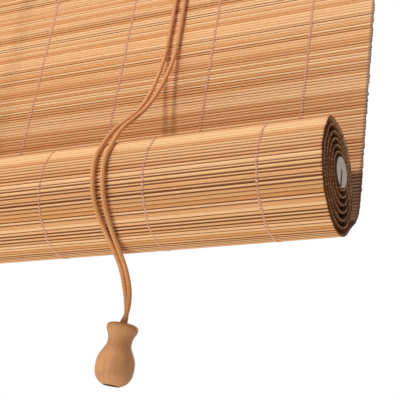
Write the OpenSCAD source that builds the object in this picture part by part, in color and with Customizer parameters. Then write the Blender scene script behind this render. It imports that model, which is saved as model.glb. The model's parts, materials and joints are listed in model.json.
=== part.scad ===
// Bamboo roll-up blind, rolled part of the way up, with its lift cords, cord lock and tassel.
// Millimetres, +Z up, +X along the blind's width, +Y towards the wall.
// The origin is midway between the two hanging holes.

/* [Mat] */
// width of the blind
mat_w = 900; // [600:10:1200]
// height of one slat and its share of the gap
slat_pitch = 1.9; // [1.5:0.1:3]
// thickness of the slats
slat_t = 1; // [0.8:0.05:1.1]
// depth of the groove between two slats
slat_groove = 0.3; // [0.1:0.05:0.35]
// number of warp threads across the width
thread_count = 15; // [9:1:19]
// distance of the outer threads from the mat's side edges
thread_margin = 36; // [20:1:60]
// width of a warp thread
thread_w = 0.9; // [0.6:0.1:1.5]
// how far a warp thread stands proud of the slats
thread_h = 0.3; // [0.2:0.05:0.5]

/* [Roll] */
// height of the roll's axis below the hanging holes
roll_drop = 504; // [460:1:560]
// largest radius of the outer turn
roll_long = 28.3; // [27.5:0.1:30]
// smallest radius of the outer turn
roll_short = 23.2; // [22.8:0.1:23.5]
// lean of the long axis of the turns
roll_tilt = 122; // [115:1:130]
// whole turns of mat in the roll
roll_turns = 6; // [4:1:6]
// diameter of the rod in the middle
rod_d = 15; // [12:0.5:15.5]
// width of the saw kerf in the rod that grips the mat
rod_kerf = 1.6; // [1.4:0.1:2.5]
// offset of the rod from the roll's axis, towards the wall
rod_shift_y = 4.6; // [3:0.1:4.8]
// offset of the rod from the roll's axis, upwards
rod_shift_z = 4.8; // [3:0.1:5]

/* [Headrail] */
// thickness of the wooden headrail
rail_t = 20; // [16:1:26]
// height of the wooden headrail
rail_h = 36; // [34:1:44]
// thickness of the clamping strip
strip_t = 4; // [3:0.5:6]
// number of tacks through the clamping strip
tack_count = 6; // [4:2:8]
// distance between the hanging holes
hanger_spacing = 600; // [500:10:640]
// diameter of the hanging holes
hanger_hole_d = 5; // [4:0.5:8]

/* [Cords] */
// diameter of the braided cord
cord_d = 2.4; // [1.8:0.1:2.6]
// distance of the lift cords from the blind's side edges
lift_inset = 250; // [210:5:280]
// distance of the pull cords from the blind's right edge
pull_inset = 114; // [110:1:118]

/* [Pulleys] */
// radius of the cord's centre line on the sheaves
sheave_cord_r = 7; // [6.5:0.1:7.5]
// diameter of the axles
axle_d = 3; // [2.5:0.1:3.5]

/* [Tassel] */
// height of the turned wooden tassel
tassel_h = 30.8; // [28:0.2:40]
// largest diameter of the tassel
tassel_d = 19.6; // [19:0.2:26]
// lean of the tassel's foot towards the wall
tassel_lean_back = 9; // [0:1:15]
// lean of the tassel's foot to the left
tassel_lean_side = 7; // [0:1:8]

/* [Hidden] */
$fn = 48;
fit = 0.05;
body_gap = 0.3;
plate_t = 1.5;
rail_top = -12;
rail_bottom = rail_top - rail_h;
rail_front = -plate_t - rail_t;
mat_y = rail_front - slat_t / 2;
strip_front = rail_front - slat_t - strip_t;
strip_margin = 2;
mat_top = rail_top - strip_margin;
half_w = mat_w / 2;
rail_mid = rail_top - rail_h / 2;
lift_x = half_w - lift_inset;

// size of the roll against the one that the routes of the cords are drawn for
route_roll_long = 28.3;
grow = roll_long / route_roll_long;
roll_reach = 34.5;
roll_y = mat_y - roll_reach * grow;
roll_z = -roll_drop;
tail_rise = 9;
tail_top = tail_rise * grow;
mat_bottom = roll_z + tail_top + body_gap;
half_step = slat_pitch / 2;

// screws, tacks and holes
screw_d = 3;
screw_head_d = 6;
screw_head_h = 1.8;
screw_len = 16;
tack_d = 1.6;
tack_head_d = 5;
tack_head_h = 1;
tack_len = 14;
hole_spare = 0.5;
tack_z = rail_bottom + 7;
tack_inset = 40;
tack_pitch = (mat_w - 2 * tack_inset) / (tack_count - 1);
tack_xs = [for (i = [0 : tack_count - 1]) -half_w + tack_inset + i * tack_pitch];
hanger_screw_inset = 10;
hanger_screw_zs = [rail_top - hanger_screw_inset, rail_bottom + hanger_screw_inset];
hanger_w = 18;
hanger_top = 8;
hanger_foot = rail_bottom + strip_margin;
hanger_screw_len = 12;

// the pulleys' and the lock's common frame
sheave_reach = 7.5;
sheave_y = strip_front - sheave_reach;
sheave_w = 9.6;
cheek_gap = 12;
cheek_in_back = sheave_y + cheek_gap / 2;
cheek_in_front = sheave_y - cheek_gap / 2;
cheek_out_front = cheek_in_front - plate_t;
bridge_z = 15;
plate_below = 8;
ear_w = 17;
ear_screw_x = 13;
cheek_half = 9;
left_z = rail_mid;
right_z = rail_mid - 6;
lock_z = rail_mid - 4;
left_pulley_x = -lift_x + sheave_cord_r;
right_pulley_x = lift_x + sheave_cord_r;
pull_x = half_w - pull_inset;
lock_x = pull_x - sheave_cord_r;
lock_below = 18;
lock_right = 23;
lane = 1.8;
lead_in = 20;
rim_lip = 1.4;
cord_play = 0.6;
groove_r = sheave_cord_r - cord_d / 2 - body_gap;
rim_r = sheave_cord_r + rim_lip;
groove_d = cord_d + cord_play;
axle_head_d = 5.4;
axle_head_h = 1.2;
cam_r = 6;
cam_throw = 2;
cam_w = 9.6;
cam_gap = 0.4;
cam_x = pull_x + cord_d / 2 + cam_gap + cam_r + cam_throw;
cam_z = lock_z - 8;

// places of the ear screws on the headrail's front, as [x, z]
ear_screws = [
    [left_pulley_x - ear_screw_x, left_z],
    [left_pulley_x + ear_screw_x, left_z],
    [right_pulley_x - ear_screw_x, right_z],
    [right_pulley_x + ear_screw_x, right_z],
    [lock_x - ear_screw_x, lock_z],
    [lock_x + lock_right + 4, lock_z]
];

// anchor of the lift cords in the headrail
anchor_depth = 10.5;
anchor_y = -plate_t - anchor_depth;
anchor_lead = [2, 14];
anchor_slant = 0.4;
anchor_hole_d = cord_d + cord_play;
knot_d = 7;
knot_h = 0.6 * knot_d;
knot_tip_d = 0.7 * knot_d;

// the tassel hangs from the pull cords
tassel_aside = -0.6;
tassel_back = 22.8;
tassel_y = roll_y + tassel_back * grow;
tassel_drop = 59;
tassel_top = roll_z - tassel_drop * grow;
tassel_bore_d = 2 * cord_d + 1;
tassel_recess_d = 8;
tassel_recess_h = 6;
tassel_knot_d = 7.4;
pair = cord_d / 2 + 0.1;

// the tassel's own axis, from its top to its foot, and the direction in which its two cords lie side by side
tassel_down = [
    -cos(tassel_lean_back) * sin(tassel_lean_side),
    sin(tassel_lean_back),
    -cos(tassel_lean_back) * cos(tassel_lean_side)
];
tassel_side = [
    sin(tassel_lean_back) * sin(tassel_lean_side),
    cos(tassel_lean_back),
    sin(tassel_lean_back) * cos(tassel_lean_side)
];

// A flat band of slats along a middle line of points, with a groove between each two slats.
function unit(v) = v / norm(v);
function along(p, i) = unit(p[min(i + 1, len(p) - 1)] - p[max(i - 1, 0)]);
function across(p, i) = [-along(p, i)[1], along(p, i)[0]];
function half_t(i) = slat_t / 2 - (i % 2 == 0 ? slat_groove : 0);
function band(p, tip = []) = concat(
    [for (i = [0 : len(p) - 1]) p[i] + across(p, i) * half_t(i)],
    tip,
    [for (i = [len(p) - 1 : -1 : 0]) p[i] - across(p, i) * half_t(i)]
);

// The hanging mat's middle line, from the top down.
hang_steps = floor((mat_top - mat_bottom) / half_step);
hang_line = [for (i = [0 : hang_steps]) [mat_y, mat_top - i * (mat_top - mat_bottom) / hang_steps]];

// The turn under the roll: a curve from the hanging mat's plane to the roll's outside.
tail_angle = -35;
tail_r = roll_long + body_gap + slat_t / 2;
tail_y = mat_y - roll_y;
tail_end = tail_r * [cos(tail_angle), sin(tail_angle)];
tail_run = (tail_y - tail_end[0]) / -sin(tail_angle);
tail_knee = [tail_y, tail_end[1] + tail_run * cos(tail_angle)];
tail_steps = 32;
function tail_at(t) = pow(1 - t, 2) * [tail_y, tail_top] + 2 * t * (1 - t) * tail_knee + t * t * tail_end;
tail_line = [for (i = [0 : tail_steps]) tail_at(i / tail_steps)];

// The roll's middle line: ellipses that shrink and shift from the outer turn to the rod.
roll_start = 198;
roll_finish = -90 - roll_tilt - 360 * (roll_turns - 1);
roll_span = roll_start - roll_finish;
rod_gap = 0.1;
inner_r = rod_d / 2 + rod_gap + slat_t / 2;
outer_a = roll_long - slat_t / 2;
outer_b = roll_short - slat_t / 2;
function share(d) = d / roll_span;
function long_r(d) = outer_a + (inner_r - outer_a) * share(d);
function short_r(d) = outer_b + (inner_r - outer_b) * share(d);
function turn_speed(d) = norm([long_r(d) * sin(roll_start - d), short_r(d) * cos(roll_start - d)]);
function turn_step(d) = half_step / turn_speed(d) * 180 / PI;
function lean(v) = [v[0] * cos(roll_tilt) - v[1] * sin(roll_tilt), v[0] * sin(roll_tilt) + v[1] * cos(roll_tilt)];
function turn_at(d) = share(d) * [rod_shift_y, rod_shift_z]
    + lean([long_r(d) * cos(roll_start - d), short_r(d) * sin(roll_start - d)]);
roll_stops = [for (d = 0; d < roll_span; d = d + turn_step(d)) d];
roll_last = roll_span - slat_t / 2 / inner_r * 180 / PI;
roll_fill = roll_last / roll_stops[len(roll_stops) - 1];
roll_line = [for (d = roll_stops) turn_at(d * roll_fill)];

// The mat's inner end, bent up into the rod's kerf.
tongue_top = 0.8;
kerf_spare = 0.7;
roll_tip = [
    [rod_shift_y - slat_t / 2, rod_shift_z - inner_r - slat_t / 2],
    [rod_shift_y - slat_t / 2, rod_shift_z + tongue_top],
    [rod_shift_y + slat_t / 2, rod_shift_z + tongue_top]
];

// A round cord through a list of points.
cord_sides = 8;
function bend(p, i) = i == 0 ? unit(p[1] - p[0])
    : i == len(p) - 1 ? unit(p[i] - p[i - 1])
    : unit(unit(p[i + 1] - p[i]) + unit(p[i] - p[i - 1]));
function square_to(v, t) = unit(v - (v * t) * t);
function side_of(p, i) = i == 0 ? square_to([0.31, 0.9, 0.3], bend(p, 0)) : square_to(side_of(p, i - 1), bend(p, i));
function ring(p, i, r) = let (s = side_of(p, i), q = cross(bend(p, i), s))
    [for (j = [0 : cord_sides - 1]) p[i] + r * (cos(360 * j / cord_sides) * s + sin(360 * j / cord_sides) * q)];
function skin(n) = [for (i = [0 : n - 2]) for (j = [0 : cord_sides - 1]) let (k = (j + 1) % cord_sides)
    [i * cord_sides + j, (i + 1) * cord_sides + j, (i + 1) * cord_sides + k, i * cord_sides + k]];

// Routes of the cords, from the roll's axis where they pass the roll.
loop_route = [
    [0, 36.8, 8.7],
    [0, 36.7, 3.3],
    [0, 35.8, -2.7],
    [0, 33.2, -9.2],
    [0, 28.9, -15.6],
    [0, 24.6, -19.8],
    [0, 20, -22.3],
    [0, 15.9, -25.4],
    [0, 11.2, -27.8],
    [0, 5.2, -29.5],
    [0, -1, -30],
    [0, -7.8, -29],
    [0, -14.1, -26.5],
    [0, -20.1, -22.3],
    [0, -24.9, -16.8],
    [0, -28.2, -10.3],
    [0, -29.9, -3.1],
    [0, -30.2, 4.3],
    [0, -30.2, 8.7]
];
rear_route = [
    [0, 36.8, 9],
    [0, 36.8, 20],
    [0, 37.4, 45]
];
front_route = [
    [0, -30.2, 9],
    [0, -29.9, 16],
    [0, -28.2, 30]
];
function drape_route(s) = [
    [-7.2 + s * 3, 32.2, 159.4],
    [-7.15 + s * 3.15, 32.2, 138],
    [-7.1 + s * 3.25, 32, 120.3],
    [-6.9 + s * 3.2, 29.6, 106.3],
    [-6 + s * 2.8, 24.4, 91.3],
    [-4.4 + s * 2.3, 16.4, 74.8],
    [-2.9 + s * 1.9, 6.2, 58.5],
    [-2.35 + s * 1.9, -4.2, 45],
    [-2.05 + s * 2.1, -12.5, 34.7],
    [-2 + s * 2.55, -17.7, 25.8],
    [-1.85 + s * 2.85, -21.5, 17.6],
    [-1.5 + s * 2.9, -24.4, 10.7],
    [-1 + s * 2.85, -25.2, 3.7],
    [-0.45 + s * 2.85, -24.2, -3.6],
    [s * 2.8, -21.7, -10.2],
    [0.6 + s * 2.6, -18.3, -15.7],
    [1.35 + s * 2.3, -14.3, -20.2],
    [1.8 + s * 1.85, -8.8, -24.3],
    [1.5 + s * 1.5, -1.3, -27.8],
    [0.6 + s * 1.35, 6.6, -30.6]
];
function in_tassel(d, s) = [tassel_aside, tassel_back, -tassel_drop] + (d * tassel_down - s * pair * tassel_side) / grow;
function end_route(s) = [
    [0.5 + s * 1.35, 7, -30.75],
    [-0.1 + s * 1.3, 11.8, -32.8],
    [-0.3 + s * 1.3, 15.6, -35.8],
    [0.1 + s * 1.3, 18.2, -40],
    [0.8 + s * 1.25, 20 - s * 0.45, -45.6],
    [0.95 + s * 0.9, 21.4 - s * 0.95, -51.4],
    [0.5 + s * 0.55, 22.1 - s * 1.2, -55.5],
    in_tassel(-0.5, s),
    in_tassel(tassel_h - tassel_recess_h - 0.2, s)
];

// The pull cords from the lock down to the mat, as [aside, towards the wall, below the lock].
function run_route(s) = [
    [0, -s * lane, 0.2],
    [0, -s * lane, 18],
    [s * 0.6, -s * lane, 34],
    [-2 + s * 2, 2.7 - s * 0.9, 110],
    [-4.4 + s * 2.8, 5.8, 200]
];
function at_roll(x, route) = [for (q = route) [q[0] + x, q[1] * grow + roll_y, q[2] * grow + roll_z]];
function over_sheave(x, z, y, angles) = [for (a = angles) [x + sheave_cord_r * cos(a), y, z + sheave_cord_r * sin(a)]];
climb = [180, 158, 135, 112, 90];
fall = [90, 68, 45, 22, 0];

module mat_prism(points) {
    translate([-half_w, 0, 0])
    rotate([90, 0, 90])
    linear_extrude(mat_w)
    polygon(points);
}

module cord(p) {
    n = len(p);
    points = [for (i = [0 : n - 1]) each ring(p, i, cord_d / 2)];
    first = [for (j = [0 : cord_sides - 1]) j];
    last = [for (j = [cord_sides - 1 : -1 : 0]) (n - 1) * cord_sides + j];
    polyhedron(points, concat([first], skin(n), [last]));
}

// A round bar along Y from one depth to another.
module bar_y(x, z, d, y0, y1) {
    translate([x, max(y0, y1), z])
    rotate([90, 0, 0])
    cylinder(h = abs(y1 - y0), d = d);
}

module box(x0, x1, y0, y1, z0, z1) {
    translate([x0, y0, z0])
    cube([x1 - x0, y1 - y0, z1 - z0]);
}

// Holes that the tacks and the ear screws make in the strip, the mat and the rail.
module front_holes() {
    for (x = tack_xs) {
        bar_y(x, tack_z, tack_d + 2 * fit, strip_front - 1, strip_front + tack_len + hole_spare);
        bar_y(x, tack_z, tack_head_d + 2 * fit, strip_front - 1, strip_front + tack_head_h);
    }
    for (p = ear_screws) bar_y(p[0], p[1], screw_d + 2 * fit, strip_front - 1, strip_front + screw_len);
}

module headrail() {
    color("burlywood")
    difference() {
        box(-half_w, half_w, rail_front, -plate_t, rail_bottom, rail_top);
        front_holes();
        for (s = [-1, 1]) {
            for (z = hanger_screw_zs) {
                bar_y(s * hanger_spacing / 2, z, screw_d + 2 * fit, 0, -hanger_screw_len - hole_spare);
            }
            translate([s * lift_x, anchor_y, rail_bottom - 1])
            cylinder(h = rail_h + 2, d = anchor_hole_d);
        }
    }
}

module top_strip() {
    color("tan")
    difference() {
        box(-half_w, half_w, strip_front, rail_front - slat_t, rail_bottom + strip_margin, mat_top);
        front_holes();
    }
}

module top_tacks() {
    color("silver")
    for (x = tack_xs) {
        bar_y(x, tack_z, tack_d, strip_front, strip_front + tack_len);
        bar_y(x, tack_z, tack_head_d, strip_front, strip_front + tack_head_h);
    }
}

module hanger_plate(s) {
    x = s * hanger_spacing / 2;
    color("silver")
    difference() {
        box(x - hanger_w / 2, x + hanger_w / 2, -plate_t, 0, hanger_foot, hanger_top);
        bar_y(x, 0, hanger_hole_d, -plate_t - 1, 1);
        for (z = hanger_screw_zs) {
            translate([x, 0, z])
            rotate([90, 0, 0])
            cylinder(h = plate_t, d1 = screw_head_d + 2 * fit, d2 = screw_d + 2 * fit);
        }
    }
}

module hanger_plate_left() {
    hanger_plate(-1);
}

module hanger_plate_right() {
    hanger_plate(1);
}

module hanger_screws() {
    color("gainsboro")
    for (s = [-1, 1]) for (z = hanger_screw_zs) {
        bar_y(s * hanger_spacing / 2, z, screw_d, -plate_t / 2, -hanger_screw_len);
        translate([s * hanger_spacing / 2, 0, z])
        rotate([90, 0, 0])
        cylinder(h = plate_t, d1 = screw_head_d, d2 = screw_d);
    }
}

module hanging_mat() {
    color("peru")
    difference() {
        mat_prism(band(hang_line));
        front_holes();
    }
}

module warp_threads() {
    y1 = mat_y - slat_t / 2;
    step = (mat_w - 2 * thread_margin) / (thread_count - 1);
    color("rosybrown")
    for (i = [0 : thread_count - 1]) {
        x = -half_w + thread_margin + i * step;
        box(x - thread_w / 2, x + thread_w / 2, y1 - thread_h, y1, mat_bottom, rail_bottom);
    }
}

module mat_tail() {
    color("peru")
    translate([0, roll_y, roll_z])
    mat_prism(band(tail_line));
}

module mat_roll() {
    color("peru")
    translate([0, roll_y, roll_z])
    mat_prism(band(roll_line, roll_tip));
}

module bottom_rod() {
    color("wheat")
    translate([0, roll_y + rod_shift_y, roll_z + rod_shift_z])
    difference() {
        translate([-half_w, 0, 0])
        rotate([0, 90, 0])
        cylinder(h = mat_w, d = rod_d);
        box(-half_w - 1, half_w + 1, -rod_kerf / 2, rod_kerf / 2, -rod_d, tongue_top + kerf_spare);
    }
}

// A bent sheet bracket with two cheeks, an upper bridge and ears for its screws.
module bracket(x, z, left, right, below, ear_left, ear_right, pins) {
    color("silver")
    difference() {
        union() {
            box(x - ear_left, x + ear_right, cheek_in_back, strip_front, z - below, z + bridge_z + plate_t);
            box(x - left, x + right, cheek_out_front, cheek_in_front, z - below, z + bridge_z + plate_t);
            box(x - left, x + right, cheek_out_front, strip_front, z + bridge_z, z + bridge_z + plate_t);
        }
        for (p = pins) bar_y(p[0], p[1], axle_d + 2 * fit, strip_front + 1, cheek_out_front - 1);
        for (p = ear_screws) bar_y(p[0], p[1], screw_d + 2 * fit, strip_front + 1, cheek_in_back - 1);
    }
}

// A headed pin through both cheeks.
module pin(x, z) {
    color("dimgray") {
        bar_y(x, z, axle_d, strip_front, cheek_out_front);
        bar_y(x, z, axle_head_d, cheek_out_front, cheek_out_front - axle_head_h);
    }
}

// A grooved wheel on a pin; the grooves are given as offsets along the pin.
module wheel(x, z, grooves) {
    color("white")
    difference() {
        bar_y(x, z, 2 * rim_r, sheave_y - sheave_w / 2, sheave_y + sheave_w / 2);
        bar_y(x, z, axle_d + 2 * fit, sheave_y - sheave_w, sheave_y + sheave_w);
        for (g = grooves) difference() {
            bar_y(x, z, 2 * rim_r + 2, sheave_y + g - groove_d / 2, sheave_y + g + groove_d / 2);
            bar_y(x, z, 2 * groove_r, sheave_y + g - groove_d, sheave_y + g + groove_d);
        }
    }
}

module left_pulley_bracket() {
    bracket(left_pulley_x, left_z, cheek_half, cheek_half, plate_below, ear_w, ear_w, [[left_pulley_x, left_z]]);
}

module left_pulley_axle() {
    pin(left_pulley_x, left_z);
}

module left_sheave() {
    wheel(left_pulley_x, left_z, [0]);
}

module right_pulley_bracket() {
    bracket(right_pulley_x, right_z, cheek_half, cheek_half, plate_below, ear_w, ear_w, [[right_pulley_x, right_z]]);
}

module right_pulley_axle() {
    pin(right_pulley_x, right_z);
}

module right_sheave() {
    wheel(right_pulley_x, right_z, [0]);
}

module cord_lock_housing() {
    ear = lock_right + 8;
    bracket(lock_x, lock_z, cheek_half, lock_right, lock_below, ear_w, ear, [[lock_x, lock_z], [cam_x, cam_z]]);
}

module lock_axle() {
    pin(lock_x, lock_z);
}

module lock_roller() {
    wheel(lock_x, lock_z, [-lane, lane]);
}

module lock_cam() {
    color("ivory")
    difference() {
        bar_y(cam_x - cam_throw, cam_z, 2 * cam_r, sheave_y - cam_w / 2, sheave_y + cam_w / 2);
        bar_y(cam_x, cam_z, axle_d + 2 * fit, sheave_y - cam_w, sheave_y + cam_w);
    }
}

module cam_pin() {
    pin(cam_x, cam_z);
}

module bracket_screws() {
    color("gainsboro")
    for (p = ear_screws) {
        bar_y(p[0], p[1], screw_d, cheek_in_back, cheek_in_back + screw_len);
        bar_y(p[0], p[1], screw_head_d, cheek_in_back, cheek_in_back - screw_head_h);
    }
}

module anchor_knots() {
    color("tan")
    for (s = [-1, 1]) {
        translate([s * lift_x, anchor_y, rail_top])
        difference() {
            cylinder(h = knot_h, d1 = knot_d, d2 = knot_tip_d);
            translate([0, 0, -1])
            cylinder(h = knot_h, d = cord_d + 2 * fit);
        }
    }
}

module rear_cord(x) {
    top = [
        [x, anchor_y - anchor_slant, rail_bottom - anchor_lead[1]],
        [x, anchor_y, rail_bottom - anchor_lead[0]],
        [x, anchor_y, rail_top + knot_h - cord_d / 2]
    ];
    color("tan")
    cord(concat(at_roll(x, rear_route), top));
}

module rear_cord_left() {
    rear_cord(-lift_x);
}

module rear_cord_right() {
    rear_cord(lift_x);
}

module front_cord_left() {
    foot = [-lift_x, sheave_y, left_z - 6];
    lead = [
        [right_pulley_x + lead_in, sheave_y, left_z + sheave_cord_r],
        [lock_x - lead_in, sheave_y + lane, lock_z + sheave_cord_r + 0.4]
    ];
    up = over_sheave(left_pulley_x, left_z, sheave_y, climb);
    down = over_sheave(lock_x, lock_z, sheave_y + lane, fall);
    color("tan")
    cord(concat(at_roll(-lift_x, front_route), [foot], up, lead, down));
}

module front_cord_right() {
    foot = [lift_x, sheave_y, right_z - 6];
    lead = [[lock_x - lead_in, sheave_y - lane, lock_z + sheave_cord_r - 0.2]];
    up = over_sheave(right_pulley_x, right_z, sheave_y, climb);
    down = over_sheave(lock_x, lock_z, sheave_y - lane, fall);
    color("tan")
    cord(concat(at_roll(lift_x, front_route), [foot], up, lead, down));
}

module pull_cord(s) {
    top = [for (q = run_route(s)) [pull_x + q[0], sheave_y + q[1], lock_z - q[2]]];
    color("tan")
    cord(concat(top, at_roll(pull_x, drape_route(s))));
}

module pull_cord_left() {
    pull_cord(-1);
}

module pull_cord_right() {
    pull_cord(1);
}

module loop_cord_left() {
    color("tan")
    cord(at_roll(-lift_x, loop_route));
}

module loop_cord_right() {
    color("tan")
    cord(at_roll(lift_x, loop_route));
}

module pull_end_left() {
    color("tan")
    cord(at_roll(pull_x, end_route(-1)));
}

module pull_end_right() {
    color("tan")
    cord(at_roll(pull_x, end_route(1)));
}

// The tassel's turned outline, as shares of its radius and height from the top.
tassel_outline = [
    [0.51, 0],
    [0.7, 0.01],
    [0.79, 0.035],
    [0.815, 0.075],
    [0.785, 0.12],
    [0.675, 0.19],
    [0.625, 0.26],
    [0.625, 0.33],
    [0.68, 0.38],
    [0.775, 0.44],
    [0.875, 0.5],
    [0.95, 0.56],
    [0.99, 0.62],
    [1, 0.69],
    [0.99, 0.76],
    [0.95, 0.83],
    [0.85, 0.9],
    [0.67, 0.96],
    [0.52, 0.99],
    [0.45, 1]
];

// Sets a piece that is drawn upright, with its top at the origin, at the tassel's place and lean.
module hang_leaning() {
    translate([pull_x + tassel_aside, tassel_y, tassel_top])
    rotate([tassel_lean_back, tassel_lean_side, 0])
    children();
}

module tassel() {
    outline = [for (q = tassel_outline) [q[0] * tassel_d / 2, -q[1] * tassel_h]];
    inner = [
        [tassel_recess_d / 2, -tassel_h],
        [tassel_recess_d / 2, tassel_recess_h - tassel_h],
        [tassel_bore_d / 2, tassel_recess_h - tassel_h],
        [tassel_bore_d / 2, 0]
    ];
    color("chocolate")
    hang_leaning()
    rotate_extrude()
    polygon(concat(outline, inner));
}

module tassel_knot() {
    color("tan")
    hang_leaning()
    translate([0, 0, -tassel_h])
    cylinder(h = tassel_recess_h, d1 = tassel_knot_d * 0.7, d2 = tassel_knot_d);
}

headrail();
top_strip();
top_tacks();
hanger_plate_left();
hanger_plate_right();
hanger_screws();
hanging_mat();
warp_threads();
mat_tail();
mat_roll();
bottom_rod();
left_pulley_bracket();
left_pulley_axle();
left_sheave();
right_pulley_bracket();
right_pulley_axle();
right_sheave();
cord_lock_housing();
lock_axle();
lock_roller();
lock_cam();
cam_pin();
bracket_screws();
anchor_knots();
rear_cord_left();
rear_cord_right();
front_cord_left();
front_cord_right();
loop_cord_left();
loop_cord_right();
pull_cord_left();
pull_cord_right();
pull_end_left();
pull_end_right();
tassel();
tassel_knot();
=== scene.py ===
# %% [markdown]
# # A bamboo roll-up blind
# The real object is a mat of thin bamboo slats, sewn together with rows of thread.
# It hangs from a wooden rail, and two cords roll its lower end up.
# The solid model already has every piece in its place, so this lesson only dresses it.
# The frame is loaded first.

# %% Load the solid model
import json
import math

import bmesh
import bpy
import numpy as np
from mathutils import Matrix, Vector

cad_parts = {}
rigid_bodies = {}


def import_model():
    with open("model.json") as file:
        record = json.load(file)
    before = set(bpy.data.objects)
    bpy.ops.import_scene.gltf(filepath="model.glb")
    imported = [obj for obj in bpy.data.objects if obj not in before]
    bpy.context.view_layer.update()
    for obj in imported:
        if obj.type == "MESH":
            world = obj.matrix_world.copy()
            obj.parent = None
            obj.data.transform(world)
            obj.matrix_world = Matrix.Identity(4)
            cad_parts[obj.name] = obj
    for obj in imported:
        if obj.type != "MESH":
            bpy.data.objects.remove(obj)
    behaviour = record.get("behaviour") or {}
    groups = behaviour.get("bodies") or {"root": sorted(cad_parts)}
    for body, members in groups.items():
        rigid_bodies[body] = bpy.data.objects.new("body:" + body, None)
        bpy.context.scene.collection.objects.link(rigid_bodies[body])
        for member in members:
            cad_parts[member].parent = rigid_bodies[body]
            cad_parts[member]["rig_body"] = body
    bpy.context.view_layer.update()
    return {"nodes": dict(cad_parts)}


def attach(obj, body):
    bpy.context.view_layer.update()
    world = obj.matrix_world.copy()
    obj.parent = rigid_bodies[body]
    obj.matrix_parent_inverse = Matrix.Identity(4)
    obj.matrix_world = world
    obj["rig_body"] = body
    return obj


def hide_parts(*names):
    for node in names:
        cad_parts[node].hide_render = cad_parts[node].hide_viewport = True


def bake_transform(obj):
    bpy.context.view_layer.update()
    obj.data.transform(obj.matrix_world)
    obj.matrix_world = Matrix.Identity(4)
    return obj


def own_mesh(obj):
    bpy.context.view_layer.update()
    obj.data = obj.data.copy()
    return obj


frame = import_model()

nodes = frame["nodes"]
MM = 0.001

# %% [markdown]
# ## The camera
# The photograph looks up at the lower right corner of the blind.
# A camera can be turned by angles, but here its three axes are known, because straight edges of the
# blind were measured in the photograph. So the axes go straight into the camera's matrix.

# %% Camera
def placed(name, data):
    """A new object at the origin of the scene, which holds a mesh, a lamp or a camera."""
    made = bpy.data.objects.new(name, data)
    bpy.context.scene.collection.objects.link(made)
    return made


view_right = Vector((0.90155, 0.41167, 0.13318))
view_up = Vector((0.08962, -0.47879, 0.87334))
view_back = Vector((0.42330, -0.77542, -0.46855))
view_place = Vector((599.03, -457.47, -751.66)) * MM

camera = placed("camera", bpy.data.cameras.new("camera"))
camera.data.lens, camera.data.sensor_width = 95.697, 36
camera.data.clip_start, camera.data.clip_end = 0.01, 50
turn = Matrix((view_right, view_up, view_back)).transposed().to_4x4()
camera.matrix_world = Matrix.Translation(view_place) @ turn
bpy.context.scene.camera = camera
print("camera at", [round(x, 3) for x in view_place])

# %% [markdown]
# ## Node sockets as numbers
# A finish is a sum of masks and noises. Drawn by hand it needs many Math nodes with wires between them.
# A small class lets Python write the same thing as an expression: each sign adds one Math node.
# The method `node` adds any other node: first its settings, then the values or wires of its sockets.

# %% A socket that can be calculated with
class Wire:
    """One output socket of a node tree."""

    def __init__(self, tree, socket):
        self.tree, self.socket = tree, socket

    def node(self, kind, settings=None, inputs=None, output=0):
        made = self.tree.nodes.new(kind)
        for name, value in (settings or {}).items():
            setattr(made, name, value)
        for key, value in (inputs or {}).items():
            if isinstance(value, Wire):
                self.tree.links.new(value.socket, made.inputs[key])
            else:
                made.inputs[key].default_value = value
        return Wire(self.tree, made.outputs[output])

    def math(self, operation, *values):
        return self.node("ShaderNodeMath", {"operation": operation}, dict(enumerate(values)))

    def __add__(self, other):
        return self.math("ADD", self, other)

    def __radd__(self, other):
        return self.math("ADD", other, self)

    def __sub__(self, other):
        return self.math("SUBTRACT", self, other)

    def __rsub__(self, other):
        return self.math("SUBTRACT", other, self)

    def __mul__(self, other):
        return self.math("MULTIPLY", self, other)

    def __rmul__(self, other):
        return self.math("MULTIPLY", other, self)

    def __neg__(self):
        return self.math("MULTIPLY", self, -1.0)

    def __abs__(self):
        return self.math("ABSOLUTE", self)


# %% Short words for nodes that most finishes use
def paint(red, green, blue):
    """A colour as it looks on a screen, 0 to 255, in the linear values that Blender mixes."""
    shares = [x / 255 for x in (red, green, blue)]
    return (*[x / 12.92 if x < 0.04045 else ((x + 0.055) / 1.055) ** 2.4 for x in shares], 1.0)


def mixed(share, first, second):
    return share.node("ShaderNodeMix", {"data_type": "RGBA"}, {0: share, 6: first, 7: second}, 2)


def step_up(value, low, high):
    """0 below low, 1 above high, with a smooth rise between them."""
    sockets = {"Value": value, "From Min": low, "From Max": high}
    return value.node("ShaderNodeMapRange", {"interpolation_type": "SMOOTHSTEP"}, sockets)


def noise(place, scale, detail=2.0):
    return place.node("ShaderNodeTexNoise", {}, {"Vector": place, "Scale": scale, "Detail": detail})


def stretched(place, x, y, z):
    """The same places, with each direction multiplied, so that a noise is drawn out along one of them."""
    return place.node("ShaderNodeVectorMath", {"operation": "MULTIPLY"}, {0: place, 1: (x, y, z)})


def part_of(vector, axis):
    return vector.node("ShaderNodeSeparateXYZ", {}, {0: vector}, axis)


def length_of(vector):
    return vector.node("ShaderNodeVectorMath", {"operation": "LENGTH"}, {0: vector}, 1)


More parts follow.
